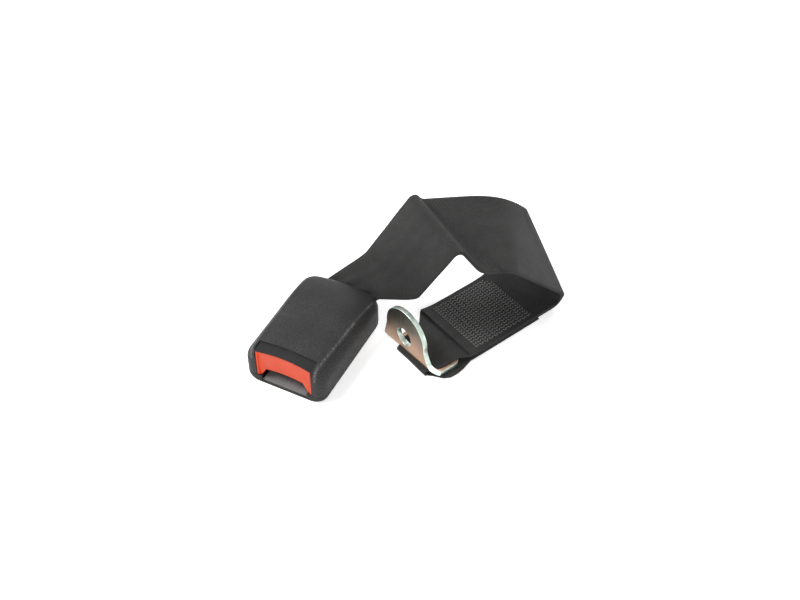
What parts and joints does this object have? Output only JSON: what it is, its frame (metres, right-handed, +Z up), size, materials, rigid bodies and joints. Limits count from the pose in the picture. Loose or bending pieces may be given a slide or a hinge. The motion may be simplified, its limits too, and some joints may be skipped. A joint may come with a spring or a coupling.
{
  "type": "seat belt buckle",
  "caption": "Rear seat belt buckle with a push-in release button, on a doubled webbing strap that folds over to a bent steel anchor plate with a bolt eye",
  "frame": {"origin": "centre of the buckle's flat underside, which the buckle lies on", "axes": "+Z is up, -Y points out of the tongue mouth, +Y points to the strap and +X completes a right-handed frame"},
  "size_m": [0.1467, 0.1549, 0.0886],
  "materials": {
    "cover": "moulded, fine grain, charcoal",
    "button": "moulded, satin, orange red",
    "guide": "moulded, grey",
    "ejector": "moulded, black",
    "steel": "pressed sheet, plated",
    "spring": "drawn wire",
    "webbing": "woven polyester, black",
    "zinc": "yellow passivated zinc"
  },
  "bodies": {
    "buckle": {"upper_cover": "cover", "lower_cover": "cover", "frame": "steel", "latch_axle": "steel", "latch_spring": "spring", "ejector_spring": "spring", "button_spring_left": "spring", "button_spring_right": "spring", "spring_bridge": "steel", "bridge_rivet_left": "steel", "bridge_rivet_right": "steel", "tongue_guide": "guide", "screw_front_left": "steel", "screw_front_right": "steel", "screw_rear_left": "steel", "screw_rear_right": "steel", "webbing": "webbing"},
    "button": {"release_button": "button", "cross_bar": "steel"},
    "ejector": {"ejector": "ejector"},
    "latch": {"latch": "steel"},
    "anchor": {"anchor_plate": "zinc"}
  },
  "joints": [
    {"name": "button_slide", "type": "slide", "parent": "buckle", "child": "button", "axis": [0, 1, 0], "range_m": [0, 0.005], "stiffness_N_per_m": 400, "springref_m": -0.002, "deforming": ["button_spring_left", "button_spring_right"]},
    {"name": "ejector_slide", "type": "slide", "parent": "buckle", "child": "ejector", "axis": [0, 1, 0], "range_m": [0, 0.009], "stiffness_N_per_m": 300, "springref_m": -0.003, "deforming": ["ejector_spring"]},
    {"name": "latch_hinge", "type": "hinge", "parent": "buckle", "child": "latch", "pos_m": [0, 0.012, 0.0147], "axis": [1, 0, 0], "range_deg": [0, 5.6], "deforming": ["latch_spring"]},
    {"name": "anchor_swivel", "type": "hinge", "parent": "buckle", "child": "anchor", "pos_m": [0.06218, 0.0313, 0.0036], "axis": [-0.9063, 0.4226, 0], "range_deg": [-35, 12], "deforming": ["webbing"]}
  ],
  "couplings": [
    {"joint": "latch_hinge", "follows": "ejector_slide", "rad_per_m": 10.8}
  ]
}
